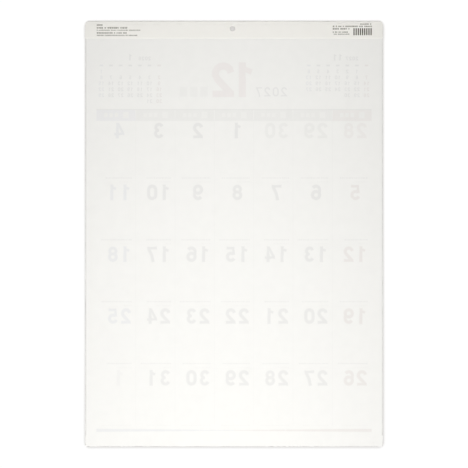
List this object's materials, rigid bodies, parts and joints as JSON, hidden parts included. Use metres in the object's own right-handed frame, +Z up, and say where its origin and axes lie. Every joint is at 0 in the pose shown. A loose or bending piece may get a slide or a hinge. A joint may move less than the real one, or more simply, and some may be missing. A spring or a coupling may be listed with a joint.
{
  "type": "wall calendar",
  "caption": "Large portrait wall calendar: a pad of printed sheets gripped along its top by a folded strip of card with a punched hanging hole and a tear line below it.",
  "frame": {"origin": "middle of the hanging hole, in the plane of the wall that the back of the card lies against", "axes": "+Z up as it hangs, +X to the right as the printed side is read, +Y into the wall, so the printed side faces -Y"},
  "size_m": [0.425, 0.0027, 0.608],
  "materials": {
    "header_card": "uncoated white card, matte",
    "calendar_paper": "thin white printing paper, matte, the print shows through faintly"
  },
  "bodies": {
    "root": {"header_card": "header_card", "sheet_pad": "calendar_paper"}
  },
  "joints": []
}
